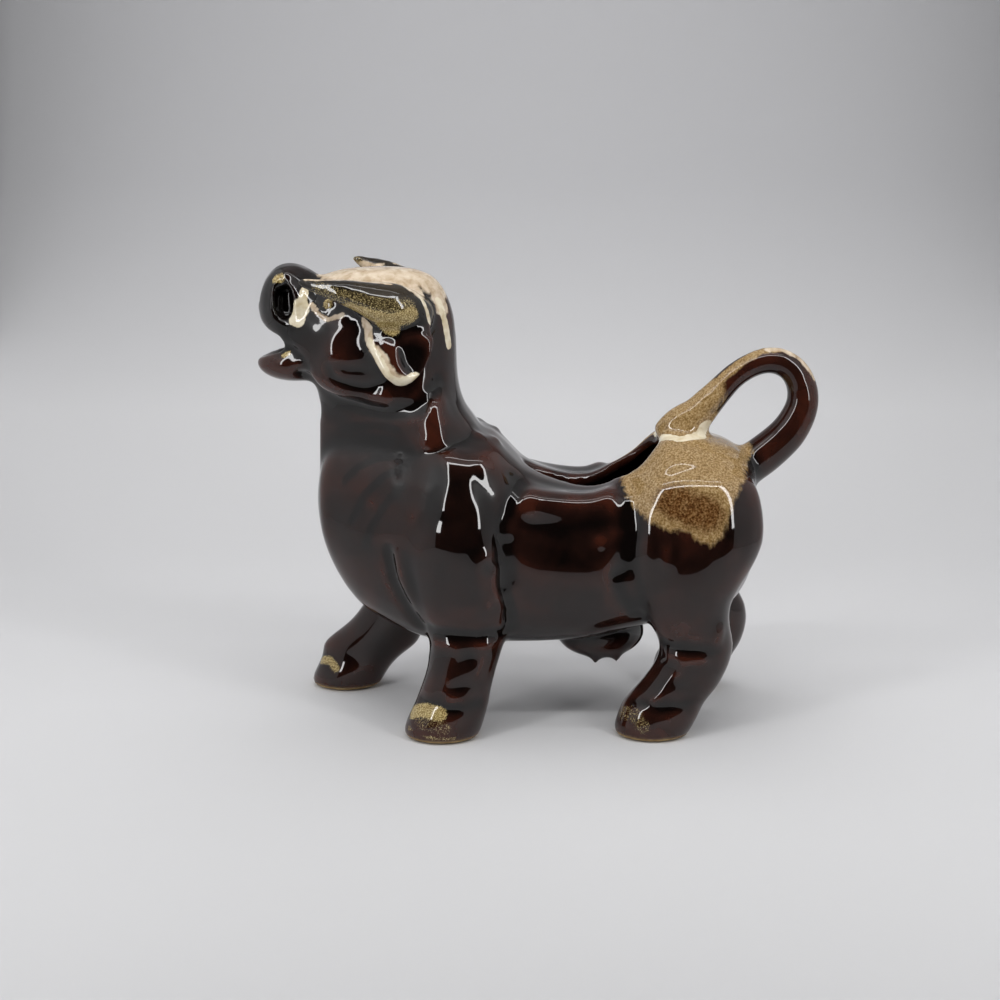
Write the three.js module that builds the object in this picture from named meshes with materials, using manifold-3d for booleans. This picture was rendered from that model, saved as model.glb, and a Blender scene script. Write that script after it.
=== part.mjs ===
// A cow creamer: a slip-cast pouring jug shaped as a horned cow that lifts its head to bellow.
// Cream goes in through the saddle on its back and pours from the open mouth, and the tail is the handle.
// The pieces are those a potter casts one by one and sticks together with slip before the firing.
// Millimetres. +Z is up, -X is towards the muzzle and -Y is the animal's left side.

import * as THREE from "three";
import { mergeVertices } from "three/addons/utils/BufferGeometryUtils.js";
import Module from "manifold-3d";

const wasm = await Module();
wasm.setup();

// Cast wall, and the layer of slip in every joint
const WALL = 3.4;
const JOINT_GAP = 0.3;

// Barrel of the body, measured along X
const CHEST_X = -59.6;
const RUMP_X = 58.6;
const BARREL_HALF_WIDTH = 24.4;
const BARREL_SQUARENESS = 2.9;
const CHEST_HALF_WIDTH = 11.5;
const BELLY_HEIGHT = 21.6;
const WITHERS_HEIGHT = 78;
const SADDLE_HEIGHT = 64.8;
const RUMP_HEIGHT = 78;

// Filling hole in the saddle
const HOLE_FRONT_X = -4;
const HOLE_BACK_X = 32.5;
const HOLE_HALF_WIDTH = 10;

// Neck and skull, measured up Z
const NECK_HALF_WIDTH = 14;
const NECK_TAPER = 0.6;
const NECK_JOINT_HEIGHT = 82;
const NECK_JOINT_TILT = 17.5;
const SKULL_HALF_WIDTH = 15.2;
const SKULL_HEIGHT = 121.6;
const SKULL_X = -41.4;
const CHEEK_HALF_WIDTH = 16.2;
const CHEEK_DROP = 21.6;
const CHEEK_HEIGHT = SKULL_HEIGHT - CHEEK_DROP;

// Muzzle, lower jaw and the mouth between them
const MUZZLE_X = -65.2;
const MUZZLE_DROP = 9.8;
const MUZZLE_HEIGHT = SKULL_HEIGHT - MUZZLE_DROP;
const MUZZLE_HALF_LENGTH = 9.1;
const MUZZLE_HALF_WIDTH = 9.8;
const MUZZLE_HALF_HEIGHT = 11.6;
const JAW_REACH = 10.6;
const JAW_HALF_WIDTH = 8.2;
const JAW_HALF_DEPTH = 5.4;
const MOUTH_HALF_WIDTH = 6.2;
const MOUTH_HALF_HEIGHT = 4;
const NOSTRIL_HALF_HEIGHT = 4.2;
const NOSTRIL_DEPTH = 2.4;

// Horns, from the root in the skull to the tip
const HORN_ROOT_RADIUS = 5.4;
const HORN_TIP_RADIUS = 1.3;
const LEFT_HORN_REACH = 30.6;
const LEFT_HORN_RISE = 10.5;
const RIGHT_HORN_REACH = 19.4;
const RIGHT_HORN_RISE = 14.4;
const HORN_SPREAD = 17;

// Ears
const EAR_LENGTH = 17.6;
const EAR_HALF_WIDTH = 8.5;
const EAR_HALF_THICKNESS = 2.5;
const EAR_SCOOP_DEPTH = 2.6;

// Legs
const HOOF_LENGTH = 21;
const HOOF_HALF_WIDTH = 8.5;
const HOOF_HEIGHT = 8.5;
const FORE_TOE_SLOPE = 3.2;
const HIND_TOE_SLOPE = 2.6;
const FORE_HEEL_SLOPE = 2.2;
const HIND_HEEL_SLOPE = 3.6;
const SOLE_INSET = 1;
const SOLE_HEIGHT = -1;
const FORE_HOOF_X = -25.8;
const HIND_HOOF_X = 30.3;
const FORE_TRACK = 20.5;
const HIND_TRACK = 19;
const FORE_STRIDE = -29.2;
const HIND_STRIDE = 13.4;
const STRIDE_TOP = 44;
const STRIDE_EASE = 1.6;
const FETLOCK_HEIGHT = 12.5;
const FETLOCK_SPAN = 4;
const FETLOCK_SWELL = 0.11;
const SHOULDER_HEIGHT = 77;
const SHOULDER_HALF_WIDTH = 28.2;
const HAUNCH_HEIGHT = 71.5;
const HAUNCH_HALF_WIDTH = 28.4;

// Udder
const UDDER_X = 17.2;
const UDDER_HALF_LENGTH = 12.6;
const UDDER_HALF_WIDTH = 9.4;
const UDDER_DROP = 7.8;
const TEAT_LENGTH = 2;
const TEAT_RADIUS = 1.5;

// Tail handle
const TAIL_RADIUS = 3.9;
const TAIL_ROOT_RADIUS = 5.6;
const TAIL_LOOP_RISE = 19;
const TAIL_LOOP_REACH = 35;

// Facets round the forms, and the size a form closes to at its ends
const BODY_SIDES = 24;
const HOLLOW_SIDES = 16;
const LIMB_SIDES = 18;
const LEAF_SIDES = 14;
const TUBE_SIDES = 12;
const END_HALF = 0.2;

const glaze = (name, color) => new THREE.MeshStandardMaterial({ name, color, roughness: 0.12, metalness: 0 });
const brownGlaze = glaze("brown_glaze", 0x32150f);
const creamGlaze = glaze("cream_glaze", 0x9c8158);
const goldBrushedGlaze = glaze("gold_brushed_glaze", 0x40301a);

const at = (x, y, z) => new THREE.Vector3(x, y, z);

// Closed solids and booleans

function solidOf(geometry) {
  const bare = geometry.clone();
  bare.deleteAttribute("normal");
  bare.deleteAttribute("uv");
  const merged = mergeVertices(bare, 1e-4);
  const vertProperties = merged.attributes.position.array;
  const triVerts = new Uint32Array(merged.index.array);
  return new wasm.Manifold(new wasm.Mesh({ numProp: 3, vertProperties, triVerts }));
}

function geometryOf(solid) {
  const mesh = solid.getMesh();
  const geometry = new THREE.BufferGeometry();
  geometry.setAttribute("position", new THREE.BufferAttribute(mesh.vertProperties, 3));
  geometry.setIndex(new THREE.BufferAttribute(mesh.triVerts, 1));
  geometry.computeVertexNormals();
  return geometry;
}

// A skin over rings. Each ring is an ellipse round a centre, with its two half-axes as vectors.
// A squareness above 2 fills out the ellipse's corners, and a taper makes it an egg, thick towards u.
function loft(rings, sides, squareness = 2) {
  const fill = (share) => Math.sign(share) * Math.abs(share) ** (2 / squareness);
  const points = [];
  for (const { centre, u, v, taper = 0 } of rings) {
    for (let s = 0; s < sides; s++) {
      const turn = (2 * Math.PI * s) / sides;
      const alongU = fill(Math.cos(turn));
      const alongV = fill(Math.sin(turn)) * (1 + taper * Math.cos(turn));
      points.push(centre.clone().addScaledVector(u, alongU).addScaledVector(v, alongV));
    }
  }
  const faces = [];
  const last = (rings.length - 1) * sides;
  const startPole = points.push(rings[0].centre) - 1;
  const endPole = points.push(rings.at(-1).centre) - 1;
  for (let s = 0; s < sides; s++) {
    const next = (s + 1) % sides;
    for (let r = 0; r < last; r += sides) {
      faces.push(r + s, r + next, r + sides + next, r + s, r + sides + next, r + sides + s);
    }
    faces.push(startPole, next, s, endPole, last + s, last + next);
  }
  return solidOf(new THREE.BufferGeometry().setFromPoints(points).setIndex(faces));
}

// Values between the stations of a form, on a smooth curve through them.
function through(vectors, steps) {
  return new THREE.CatmullRomCurve3(vectors, false, "catmullrom").getPoints(steps);
}

const ALONG_X = [at(0, 1, 0), at(0, 0, 1)];
const ALONG_Z = [at(1, 0, 0), at(0, 1, 0)];

// Stations are a centre with half-sizes across the two ring axes. grow moves the whole skin out or in.
function form(stations, [acrossU, acrossV], stepsEach, sides, grow = 0, squareness = 2) {
  const steps = (stations.length - 1) * stepsEach;
  const centres = through(stations.map((s) => s.centre), steps);
  const halves = through(stations.map((s) => at(s.halfU, s.halfV, s.taper ?? 0)), steps);
  const rings = centres.map((centre, i) => ({
    centre,
    u: acrossU.clone().multiplyScalar(Math.max(halves[i].x, END_HALF) + grow),
    v: acrossV.clone().multiplyScalar(Math.max(halves[i].y, END_HALF) + grow),
    taper: halves[i].z,
  }));
  return loft(rings, sides, squareness);
}

// A round tube along a curve, with a radius at each of its points.
function taperedTube(points, radii, steps, sides) {
  const curve = new THREE.CatmullRomCurve3(points, false, "catmullrom");
  const frames = curve.computeFrenetFrames(steps, false);
  const widths = through(radii.map((r) => at(r, 0, 0)), steps);
  const rings = widths.map(({ x: radius }, i) => ({
    centre: curve.getPointAt(i / steps),
    u: frames.normals[i].clone().multiplyScalar(radius),
    v: frames.binormals[i].clone().multiplyScalar(radius),
  }));
  return loft(rings, sides);
}

function ellipsoid(centre, halfX, halfY, halfZ, around = 18, down = 12) {
  const ball = new THREE.SphereGeometry(1, around, down);
  return solidOf(ball.scale(halfX, halfY, halfZ).translate(centre.x, centre.y, centre.z));
}

// Body and head as plain outer forms

function barrelStations() {
  const climb = (share) => SADDLE_HEIGHT + share * (RUMP_HEIGHT - SADDLE_HEIGHT);
  const dip = (share) => WITHERS_HEIGHT + share * (SADDLE_HEIGHT - WITHERS_HEIGHT);
  const rows = [
    // x, top, underside, half width
    [CHEST_X, 62, 57, 3],
    [CHEST_X + 1.6, 70, 48.4, 9],
    [CHEST_X + 5, 75, 39.6, CHEST_HALF_WIDTH],
    [-48.5, 77, 31, 15.8],
    [-40, 78, 25.8, 20.4],
    [-30, WITHERS_HEIGHT, BELLY_HEIGHT + 0.4, BARREL_HALF_WIDTH],
    [-20, WITHERS_HEIGHT + 1, BELLY_HEIGHT - 0.4, BARREL_HALF_WIDTH + 0.4],
    [-12, WITHERS_HEIGHT, BELLY_HEIGHT - 0.6, BARREL_HALF_WIDTH + 0.4],
    [-4, dip(0.62), BELLY_HEIGHT - 0.4, BARREL_HALF_WIDTH],
    [5, dip(0.91), BELLY_HEIGHT, BARREL_HALF_WIDTH - 0.4],
    [14, SADDLE_HEIGHT, BELLY_HEIGHT + 1, BARREL_HALF_WIDTH - 0.6],
    [21, climb(0.26), BELLY_HEIGHT + 2.6, BARREL_HALF_WIDTH - 0.8],
    [27, climb(0.55), BELLY_HEIGHT + 4, BARREL_HALF_WIDTH - 0.6],
    [33, RUMP_HEIGHT - 0.4, BELLY_HEIGHT + 5, BARREL_HALF_WIDTH - 0.4],
    [40, RUMP_HEIGHT, BELLY_HEIGHT + 6, BARREL_HALF_WIDTH - 0.4],
    [48, RUMP_HEIGHT - 1.8, BELLY_HEIGHT + 8, BARREL_HALF_WIDTH - 1.4],
    [RUMP_X - 6, RUMP_HEIGHT - 3.6, 33, 20],
    [RUMP_X - 2, RUMP_HEIGHT - 8, 39, 14],
    [RUMP_X, RUMP_HEIGHT - 18, 47, 5],
  ];
  return rows.map(([x, top, underside, half]) => ({
    centre: at(x, 0, (top + underside) / 2),
    halfU: half,
    halfV: (top - underside) / 2,
  }));
}

function neckStations() {
  const up = (share) => NECK_JOINT_HEIGHT + share * (SKULL_HEIGHT - NECK_JOINT_HEIGHT);
  const rows = [
    // z, throat x, nape x, half width, taper
    [46, CHEST_X + 2.6, -17, 16, NECK_TAPER],
    [58, CHEST_X + 0.2, -13.6, 16, NECK_TAPER],
    [70, CHEST_X + 0.2, -13, 15.4, NECK_TAPER],
    [79, CHEST_X + 0.5, -15.2, NECK_HALF_WIDTH + 0.6, NECK_TAPER],
    [up(0.075), CHEST_X + 0.9, -19.4, NECK_HALF_WIDTH, NECK_TAPER],
    [up(0.25), SKULL_X - 18.6, SKULL_X + 20, NECK_HALF_WIDTH + 0.4, NECK_TAPER / 2],
    [up(0.47), SKULL_X - 19.6, SKULL_X + 19.6, SKULL_HALF_WIDTH, 0],
    [SKULL_HEIGHT - 13, SKULL_X - 20.4, SKULL_X + 19, SKULL_HALF_WIDTH - 0.6, 0],
    [SKULL_HEIGHT - 7, SKULL_X - 19.6, SKULL_X + 17, SKULL_HALF_WIDTH - 2.2, 0],
    [SKULL_HEIGHT - 2.8, SKULL_X - 17, SKULL_X + 14, SKULL_HALF_WIDTH - 5, 0],
    [SKULL_HEIGHT - 0.5, SKULL_X - 10, SKULL_X + 8.6, SKULL_HALF_WIDTH - 9, 0],
    [SKULL_HEIGHT, SKULL_X - 2, SKULL_X + 2, 1.4, 0],
  ];
  return rows.map(([z, throat, nape, half, taper]) => ({
    centre: at((throat + nape) / 2, 0, z),
    halfU: (nape - throat) / 2,
    halfV: half,
    taper,
  }));
}

// The face narrows from the cheeks to the corners of the mouth.
function faceStations() {
  const rows = [
    // x, top, underside, half width
    [SKULL_X - 4, SKULL_HEIGHT - 4, CHEEK_HEIGHT - 14, 13],
    [SKULL_X - 11, SKULL_HEIGHT - 3, CHEEK_HEIGHT - 12, 13],
    [MUZZLE_X + 6, SKULL_HEIGHT - 3.4, CHEEK_HEIGHT - 9.6, 11.4],
    [MUZZLE_X + 1.4, MUZZLE_HEIGHT + 5, CHEEK_HEIGHT - 5.4, 9.4],
    [MUZZLE_X - 2.4, MUZZLE_HEIGHT + 1, CHEEK_HEIGHT - 1, 7.6],
  ];
  return rows.reverse().map(([x, top, underside, half]) => ({
    centre: at(x, 0, (top + underside) / 2),
    halfU: half,
    halfV: (top - underside) / 2,
  }));
}

const barrel = (grow = 0) => form(barrelStations(), ALONG_X, 2, BODY_SIDES, grow, BARREL_SQUARENESS);
const neck = (grow = 0) => form(neckStations(), ALONG_Z, 2, BODY_SIDES, grow);
const face = (grow = 0) => form(faceStations(), ALONG_X, 2, LIMB_SIDES, grow);
const cheekCentre = at(SKULL_X - 5, 0, CHEEK_HEIGHT);
const jawCentre = at(MUZZLE_X + 0.5, 0, MUZZLE_HEIGHT - 15.2);

const muzzle = (grow = 0) =>
  ellipsoid(
    at(MUZZLE_X, 0, MUZZLE_HEIGHT),
    MUZZLE_HALF_LENGTH + grow,
    MUZZLE_HALF_WIDTH + grow,
    MUZZLE_HALF_HEIGHT + grow,
  );

const jaw = (grow = 0) =>
  ellipsoid(jawCentre, JAW_REACH + grow, JAW_HALF_WIDTH + grow, JAW_HALF_DEPTH + grow);

const cheeks = (grow = 0) => ellipsoid(cheekCentre, 16.6 + grow, CHEEK_HALF_WIDTH + grow, 16.4 + grow);

const bodyForm = (grow = 0) => barrel(grow).add(neck(grow));
const headForm = (grow = 0) => neck(grow).add(cheeks(grow)).add(face(grow)).add(muzzle(grow)).add(jaw(grow));

// Everything above the neck joint, moved up or down by half a layer of slip.
function aboveNeckJoint(offset) {
  const size = 400;
  const block = new THREE.BoxGeometry(size, size, size).translate(0, 0, size / 2 + offset);
  block.rotateY(THREE.MathUtils.degToRad(-NECK_JOINT_TILT));
  return solidOf(block.translate(SKULL_X, 0, NECK_JOINT_HEIGHT));
}

// Hollows

// The cavity of the barrel and neck stops a wall short of the chest, the rump and the crown.
function cavity() {
  const inner = barrelStations().slice(2, -2);
  const barrelHollow = form(inner, ALONG_X, 2, HOLLOW_SIDES, -WALL, BARREL_SQUARENESS);
  const neckHollow = form(neckStations().slice(0, -3), ALONG_Z, 2, HOLLOW_SIDES, -WALL);
  return barrelHollow.add(neckHollow);
}

// A pear-shaped hole, widest at the rump, cut straight down through the saddle.
function fillingHole() {
  const length = HOLE_BACK_X - HOLE_FRONT_X;
  const edge = [
    // share of the length, share of the half width
    [0, 0],
    [0.08, 0.24],
    [0.3, 0.42],
    [0.55, 0.7],
    [0.78, 1],
    [0.94, 0.72],
    [1, 0],
  ];
  const point = ([along, across], side) =>
    at(HOLE_FRONT_X + length * along, side * HOLE_HALF_WIDTH * across, 0);
  const near = edge.map((share) => point(share, -1));
  const far = edge.slice(1, -1).map((share) => point(share, 1)).reverse();
  const outline = new THREE.CatmullRomCurve3([...near, ...far], true, "catmullrom").getPoints(36);
  const shape = new THREE.Shape(outline.map(({ x, y }) => new THREE.Vector2(x, y)));
  const floor = (BELLY_HEIGHT + SADDLE_HEIGHT) / 2;
  const depth = RUMP_HEIGHT + WALL - floor;
  const drill = new THREE.ExtrudeGeometry(shape, { depth, bevelEnabled: false });
  return solidOf(drill.translate(0, 0, floor));
}

// The mouth runs from the hollow of the skull out between the muzzle and the lower jaw.
function mouthHole() {
  const height = (MUZZLE_HEIGHT - MUZZLE_HALF_HEIGHT + jawCentre.z + JAW_HALF_DEPTH) / 2 + 1;
  const section = (x, scale) => ({
    centre: at(x, 0, height),
    halfU: MOUTH_HALF_WIDTH * scale,
    halfV: MOUTH_HALF_HEIGHT * scale,
  });
  const lipX = MUZZLE_X - MUZZLE_HALF_LENGTH;
  const inside = lipX + MUZZLE_HALF_LENGTH;
  const stations = [section(lipX - 6, 1.25), section(lipX, 1.05), section(inside, 1), section(SKULL_X, 1)];
  return form(stations, ALONG_X, 2, HOLLOW_SIDES);
}

const nostril = (side) =>
  ellipsoid(
    at(MUZZLE_X - 1.6, side * (MUZZLE_HALF_WIDTH - 0.4), MUZZLE_HEIGHT + 1.6),
    NOSTRIL_DEPTH,
    NOSTRIL_DEPTH,
    NOSTRIL_HALF_HEIGHT,
    12,
    8,
  );

// Cast pieces

function bodyShell() {
  return bodyForm().subtract(cavity()).subtract(fillingHole()).subtract(aboveNeckJoint(-JOINT_GAP / 2));
}

function headShell() {
  const outer = headForm().intersect(aboveNeckJoint(JOINT_GAP / 2));
  return outer.subtract(cavity()).subtract(mouthHole()).subtract(nostril(-1)).subtract(nostril(1));
}

// A horn leaves the side of the skull, swings out to its full spread and runs forward to the tip.
// The left one is longer and lies lower than the right one.
function hornForm(side, grow = 0) {
  const reach = side < 0 ? LEFT_HORN_REACH : RIGHT_HORN_REACH;
  const rise = side < 0 ? LEFT_HORN_RISE : RIGHT_HORN_RISE;
  const root = at(SKULL_X + 10.3, side * (SKULL_HALF_WIDTH - 6.5), SKULL_HEIGHT - 13);
  const point = (share, spread, lift) =>
    at(root.x - reach * share, side * (HORN_SPREAD * spread), root.z + rise * lift);
  const points = [
    root,
    point(0.12, 0.8, 0.3),
    point(0.32, 0.97, 0.5),
    point(0.54, 1, 0.7),
    point(0.75, 0.98, 0.83),
    point(0.93, 0.93, 0.94),
    point(1, 0.9, 1),
  ];
  const taper = [0.94, 1.04, 1.1, 0.84, 0.64, 0.42].map((share) => share * HORN_ROOT_RADIUS);
  const radii = [...taper, HORN_TIP_RADIUS].map((radius) => radius + grow);
  return taperedTube(points, radii, 18, TUBE_SIDES);
}

const horn = (side) => hornForm(side).subtract(headForm(JOINT_GAP));

// A hanging ear: a leaf from the side of the skull, scooped out on its outer face.
function ear(side) {
  const top = at(SKULL_X + 7, side * (SKULL_HALF_WIDTH - 3.4), SKULL_HEIGHT - 11.8);
  const leaf = (drop, out, back, half, thin) => ({
    centre: at(top.x + back, top.y + side * out, top.z - EAR_LENGTH * drop),
    halfU: EAR_HALF_WIDTH * half,
    halfV: EAR_HALF_THICKNESS * thin,
  });
  const stations = [
    leaf(1, 6.6, -1.4, 0.16, 0.4),
    leaf(0.88, 7, -1, 0.46, 0.8),
    leaf(0.7, 6.8, -0.6, 0.74, 1),
    leaf(0.4, 5.4, -0.8, 1, 1),
    leaf(0.18, 3, -1.1, 0.95, 1),
    leaf(0, 0, -1.6, 0.7, 0.9),
  ];
  const blade = form(stations, ALONG_Z, 2, LEAF_SIDES);
  const scoopAt = at(top.x + 2.6, top.y + side * (5.8 + EAR_HALF_THICKNESS), top.z - EAR_LENGTH * 0.46);
  const scoop = ellipsoid(scoopAt, EAR_HALF_WIDTH * 0.5, EAR_SCOOP_DEPTH, EAR_LENGTH * 0.38, 12, 8);
  const leafOnly = blade.subtract(scoop).subtract(hornForm(side, JOINT_GAP));
  return leafOnly.subtract(headForm(JOINT_GAP)).subtract(bodyForm(JOINT_GAP));
}

// Legs stand on flat soles. A stride moves the hoof along X and fades out up to the top of the leg,
// and a leg stretched forward is fuller at the fetlock.
function leg(side, rows, hoofX, track, [toeSlope, heelSlope], stride, topHeight, topX) {
  const toe = hoofX - HOOF_LENGTH / 2;
  const heel = hoofX + HOOF_LENGTH / 2;
  const hoof = (z, front, back, half) => [z, toe + front, heel + back, track - half, track + half];
  const all = [
    // z, front x, back x, inner y, outer y
    hoof(SOLE_HEIGHT, SOLE_INSET, -SOLE_INSET, HOOF_HALF_WIDTH - SOLE_INSET),
    hoof(SOLE_HEIGHT + HOOF_HEIGHT * 0.2, 0, 0, HOOF_HALF_WIDTH),
    hoof(HOOF_HEIGHT * 0.6, toeSlope * 0.5, heelSlope * 0.6, HOOF_HALF_WIDTH - 0.2),
    hoof(HOOF_HEIGHT, toeSlope, heelSlope, HOOF_HALF_WIDTH - 1),
    ...rows,
    [topHeight, topX - 3, topX + 3, 6, 11],
  ];
  const stations = all.map(([z, front, back, inner, outer]) => {
    const share = Math.min(1, Math.max(0, z) / STRIDE_TOP);
    const fade = 1 - share ** STRIDE_EASE;
    const lean = share < 1 ? (stride / STRIDE_TOP) * STRIDE_EASE * share ** (STRIDE_EASE - 1) : 0;
    const fetlock = Math.exp(-(((z - FETLOCK_HEIGHT) / FETLOCK_SPAN) ** 2));
    const swell = Math.max(0, -stride) * FETLOCK_SWELL * fetlock;
    return {
      centre: at((front + back) / 2 + stride * fade, (side * (inner + outer)) / 2, z),
      halfU: ((back - front) / 2) * Math.hypot(1, lean) + swell,
      halfV: (outer - inner) / 2,
    };
  });
  return form(stations, ALONG_Z, 2, LIMB_SIDES).subtract(bodyForm(JOINT_GAP));
}

function foreleg(side, stride) {
  const rows = [
    // z, front x, back x, inner y, outer y
    [12, FORE_HOOF_X - 6, FORE_HOOF_X + 13.2, FORE_TRACK - 7.5, FORE_TRACK + 7.3],
    [18, FORE_HOOF_X - 4, FORE_HOOF_X + 14.7, FORE_TRACK - 8.1, FORE_TRACK + 6.9],
    [25, FORE_HOOF_X - 3.4, FORE_HOOF_X + 16.9, 11.5, SHOULDER_HALF_WIDTH - 2],
    [30, FORE_HOOF_X - 4.8, FORE_HOOF_X + 18.6, 10.4, SHOULDER_HALF_WIDTH - 1.6],
    [36, -33.4, -5.6, 9, SHOULDER_HALF_WIDTH - 0.2],
    [44, -35.2, -4.6, 8, SHOULDER_HALF_WIDTH],
    [52, -35.5, -5, 8, SHOULDER_HALF_WIDTH - 0.6],
    [SHOULDER_HEIGHT - 18, -34, -7, 8, SHOULDER_HALF_WIDTH - 1.6],
    [SHOULDER_HEIGHT - 12, -31.4, -9.4, 8, SHOULDER_HALF_WIDTH - 3.2],
    [SHOULDER_HEIGHT - 6, -28, -12, 8, SHOULDER_HALF_WIDTH - 6.8],
    [SHOULDER_HEIGHT - 1.2, -24, -16, 8, SHOULDER_HALF_WIDTH - 13],
  ];
  const slopes = [FORE_TOE_SLOPE, FORE_HEEL_SLOPE];
  return leg(side, rows, FORE_HOOF_X, FORE_TRACK, slopes, stride, SHOULDER_HEIGHT, -20);
}

function hindleg(side, stride) {
  const rows = [
    // z, front x, back x, inner y, outer y
    [12, HIND_HOOF_X - 4.8, HIND_HOOF_X + 17, HIND_TRACK - 7.2, HIND_TRACK + 7],
    [18, HIND_HOOF_X - 0.2, HIND_HOOF_X + 20, HIND_TRACK - 7.6, HIND_TRACK + 7],
    [24, HIND_HOOF_X + 1.5, HIND_HOOF_X + 21.2, HIND_TRACK - 8, HIND_TRACK + 7.4],
    [30, 28.8, 50.2, 10.6, HAUNCH_HALF_WIDTH - 1.2],
    [36, 25.8, 50.6, 9.6, HAUNCH_HALF_WIDTH - 0.4],
    [44, 22.8, RUMP_X - 3.4, 8, HAUNCH_HALF_WIDTH],
    [52, 21.8, RUMP_X, 8, HAUNCH_HALF_WIDTH - 0.5],
    [60, 23, RUMP_X - 0.4, 8, HAUNCH_HALF_WIDTH - 1.7],
    [HAUNCH_HEIGHT - 5.5, 25.4, RUMP_X - 2, 8, HAUNCH_HALF_WIDTH - 3.4],
    [HAUNCH_HEIGHT - 2, 28.6, RUMP_X - 5, 9, HAUNCH_HALF_WIDTH - 5.8],
    [HAUNCH_HEIGHT - 0.6, 33, RUMP_X - 9.6, 10, HAUNCH_HALF_WIDTH - 9],
  ];
  const slopes = [HIND_TOE_SLOPE, HIND_HEEL_SLOPE];
  const whole = leg(side, rows, HIND_HOOF_X, HIND_TRACK, slopes, stride, HAUNCH_HEIGHT, 43.5);
  return whole.subtract(tail(JOINT_GAP));
}

function udder() {
  const centre = at(UDDER_X, 0, BELLY_HEIGHT + 0.4);
  let bag = ellipsoid(centre, UDDER_HALF_LENGTH, UDDER_HALF_WIDTH, UDDER_DROP, 18, 12);
  for (const [x, y] of [[-1.2, -4.6], [4, -4.8], [3.6, 4.6], [8.6, 4.2]]) {
    const share = Math.hypot(x / UDDER_HALF_LENGTH, y / UDDER_HALF_WIDTH);
    const skinZ = centre.z - UDDER_DROP * Math.sqrt(1 - share * share);
    const points = [at(centre.x + x, y, skinZ + 1.5), at(centre.x + x * 1.2, y * 1.12, skinZ - TEAT_LENGTH)];
    bag = bag.add(taperedTube(points, [TEAT_RADIUS, TEAT_RADIUS * 0.55], 3, 8));
  }
  return bag.subtract(bodyForm(JOINT_GAP));
}

// The tail leaves the top of the rump, loops back over and comes down into the rump again.
function tail(grow = 0) {
  const root = at(32, 0, RUMP_HEIGHT - 1.8);
  const point = (share, lift) => at(38 + TAIL_LOOP_REACH * share, 0, RUMP_HEIGHT + TAIL_LOOP_RISE * lift);
  const points = [
    root,
    point(-0.08, 0.02),
    point(0.1, 0.18),
    point(0.25, 0.48),
    point(0.44, 0.83),
    point(0.67, 1),
    point(0.86, 0.84),
    point(0.935, 0.44),
    point(0.85, 0.02),
    point(0.7, -0.27),
    point(0.54, -0.5),
    point(0.4, -0.7),
  ];
  const taper = [0.5, 0.94, 0.8].map((share) => share * TAIL_ROOT_RADIUS);
  const loop = [0.96, 0.9, 0.95, 1.03, 1.13, 1.28, 1.38, 1.44, 1.34].map((share) => share * TAIL_RADIUS);
  const radii = [...taper, ...loop].map((radius) => radius + grow);
  return taperedTube(points, radii, 34, TUBE_SIDES);
}

const tailHandle = () => tail().subtract(bodyForm(JOINT_GAP));

// Assembly: each mesh has its own origin at the seat where it is stuck on.

const creamer = new THREE.Group();

function piece(name, solid, seat, material) {
  const geometry = geometryOf(solid).translate(-seat.x, -seat.y, -seat.z);
  const mesh = new THREE.Mesh(geometry, material);
  mesh.name = name;
  mesh.position.copy(seat);
  creamer.add(mesh);
}

const hornSeat = (side) => at(SKULL_X + 8, side * SKULL_HALF_WIDTH, SKULL_HEIGHT - 11);
const earSeat = (side) => at(SKULL_X + 7, side * SKULL_HALF_WIDTH, SKULL_HEIGHT - 14);

piece("body_shell", bodyShell(), at(0, 0, BELLY_HEIGHT), brownGlaze);
piece("head_shell", headShell(), at(SKULL_X, 0, NECK_JOINT_HEIGHT), brownGlaze);
piece("left_horn", horn(-1), hornSeat(-1), goldBrushedGlaze);
piece("right_horn", horn(1), hornSeat(1), goldBrushedGlaze);
piece("left_ear", ear(-1), earSeat(-1), creamGlaze);
piece("right_ear", ear(1), earSeat(1), creamGlaze);
piece("left_foreleg", foreleg(-1, 0), at(FORE_HOOF_X, -FORE_TRACK, 0), brownGlaze);
piece("right_foreleg", foreleg(1, FORE_STRIDE), at(FORE_HOOF_X + FORE_STRIDE, FORE_TRACK, 0), brownGlaze);
piece("left_hindleg", hindleg(-1, 0), at(HIND_HOOF_X, -HIND_TRACK, 0), brownGlaze);
piece("right_hindleg", hindleg(1, HIND_STRIDE), at(HIND_HOOF_X + HIND_STRIDE, HIND_TRACK, 0), brownGlaze);
piece("udder", udder(), at(UDDER_X, 0, BELLY_HEIGHT), brownGlaze);
piece("tail_handle", tailHandle(), at(38, 0, RUMP_HEIGHT), brownGlaze);

// The frame's origin is on the ground, under the middle of the whole jug.
const box = new THREE.Box3().setFromObject(creamer, true);
const middle = box.getCenter(at(0, 0, 0));
creamer.position.set(-middle.x, -middle.y, -box.min.z);

export default creamer;
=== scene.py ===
"""Looks of a brown-glazed bull creamer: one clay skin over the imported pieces, cut back into them."""

import math

import bpy
import numpy as np
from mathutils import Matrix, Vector
from mathutils.bvhtree import BVHTree
from mathutils.kdtree import KDTree


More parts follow.
